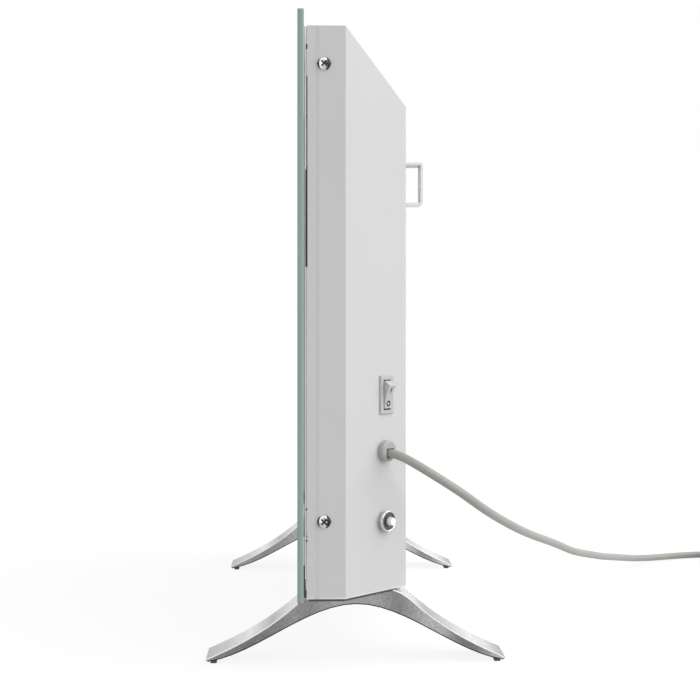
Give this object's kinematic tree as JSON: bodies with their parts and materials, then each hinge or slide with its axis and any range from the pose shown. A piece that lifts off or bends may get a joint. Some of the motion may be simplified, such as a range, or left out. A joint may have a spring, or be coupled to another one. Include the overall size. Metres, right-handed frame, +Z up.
{
  "type": "convector heater",
  "caption": "Free-standing convector heater with a glass front, folded steel housing, rocker switch, reset button, mains lead, wall brackets and curved aluminium feet.",
  "frame": {"origin": "on the floor, midway between the feet's sides and midway between their toes", "axes": "+X towards the side that carries the switch, the cord gland and the reset button, -Y out of the glass front, +Z up"},
  "size_m": [0.56, 0.6347, 0.5193],
  "materials": {
    "glass": "polished toughened glass, green at the edge",
    "painted_steel": "light grey powder coat, satin",
    "white_steel": "white powder coat, satin",
    "brushed_aluminium": "brushed along the curve",
    "bare_aluminium": "mill finish",
    "chrome": "polished plating",
    "zinc_steel": "zinc plated",
    "tan_steel": "yellow passivated spring steel",
    "grey_plastic": "moulded, greenish grey",
    "light_plastic": "moulded, light grey",
    "black_plastic": "moulded, black",
    "white_plastic": "moulded, white",
    "ceramic": "unglazed ceramic",
    "rubber": "moulded rubber",
    "tape": "foam bonding tape",
    "circuit_board": "green solder mask",
    "brass": "bare",
    "cord_grey": "flexible PVC, grey"
  },
  "bodies": {
    "heater": {"air_deflector": "bare_aluminium", "breaker_body": "black_plastic", "breaker_hex_nut": "zinc_steel", "breaker_ring_nut": "chrome", "control_board": "circuit_board", "control_tray": "black_plastic", "cord_coil": "cord_grey", "cord_free": "cord_grey", "cord_gland": "grey_plastic", "cord_tail": "cord_grey", "cord_tie": "black_plastic", "element_bracket_left": "zinc_steel", "element_bracket_right": "zinc_steel", "element_bush_left": "ceramic", "element_bush_right": "ceramic", "element_fins": "bare_aluminium", "element_rod": "zinc_steel", "foot_bolt_left_front": "zinc_steel", "foot_bolt_left_rear": "zinc_steel", "foot_bolt_right_front": "zinc_steel", "foot_bolt_right_rear": "zinc_steel", "foot_left": "brushed_aluminium", "foot_nut_plate_left": "zinc_steel", "foot_nut_plate_right": "zinc_steel", "foot_pad_left_front": "rubber", "foot_pad_left_rear": "rubber", "foot_pad_right_front": "rubber", "foot_pad_right_rear": "rubber", "foot_right": "brushed_aluminium", "front_plate": "white_steel", "glass_clip_left": "tan_steel", "glass_clip_right": "tan_steel", "glass_panel": "glass", "glass_tape_left": "tape", "glass_tape_right": "tape", "hanger_bracket_left": "white_steel", "hanger_bracket_right": "white_steel", "hanger_rivet_left_lower": "zinc_steel", "hanger_rivet_left_upper": "zinc_steel", "hanger_rivet_right_lower": "zinc_steel", "hanger_rivet_right_upper": "zinc_steel", "lead_element": "white_plastic", "lead_mains_inner": "cord_grey", "lead_switch": "black_plastic", "overheat_cutout": "black_plastic", "plug_body": "cord_grey", "plug_pin_left": "chrome", "plug_pin_right": "chrome", "rear_housing": "painted_steel", "side_screw_left_lower": "chrome", "side_screw_left_upper": "chrome", "side_screw_right_lower": "chrome", "side_screw_right_upper": "chrome", "switch_body": "grey_plastic", "switch_tab_lower": "brass", "switch_tab_upper": "brass", "terminal_block": "ceramic", "tip_over_switch": "black_plastic"},
    "rocker": {"switch_rocker": "light_plastic"},
    "reset": {"reset_button": "white_plastic"}
  },
  "joints": [
    {"name": "rocker_tilt", "type": "hinge", "parent": "heater", "child": "rocker", "pos_m": [0.2367, 0.02365, 0.2177], "axis": [0.7071, -0.7071, 0], "range_deg": [0, 32]},
    {"name": "reset_press", "type": "slide", "parent": "heater", "child": "reset", "axis": [-0.7071, -0.7071, 0], "range_m": [0, 0.002], "stiffness_N_per_m": 200, "springref_m": -0.001}
  ]
}
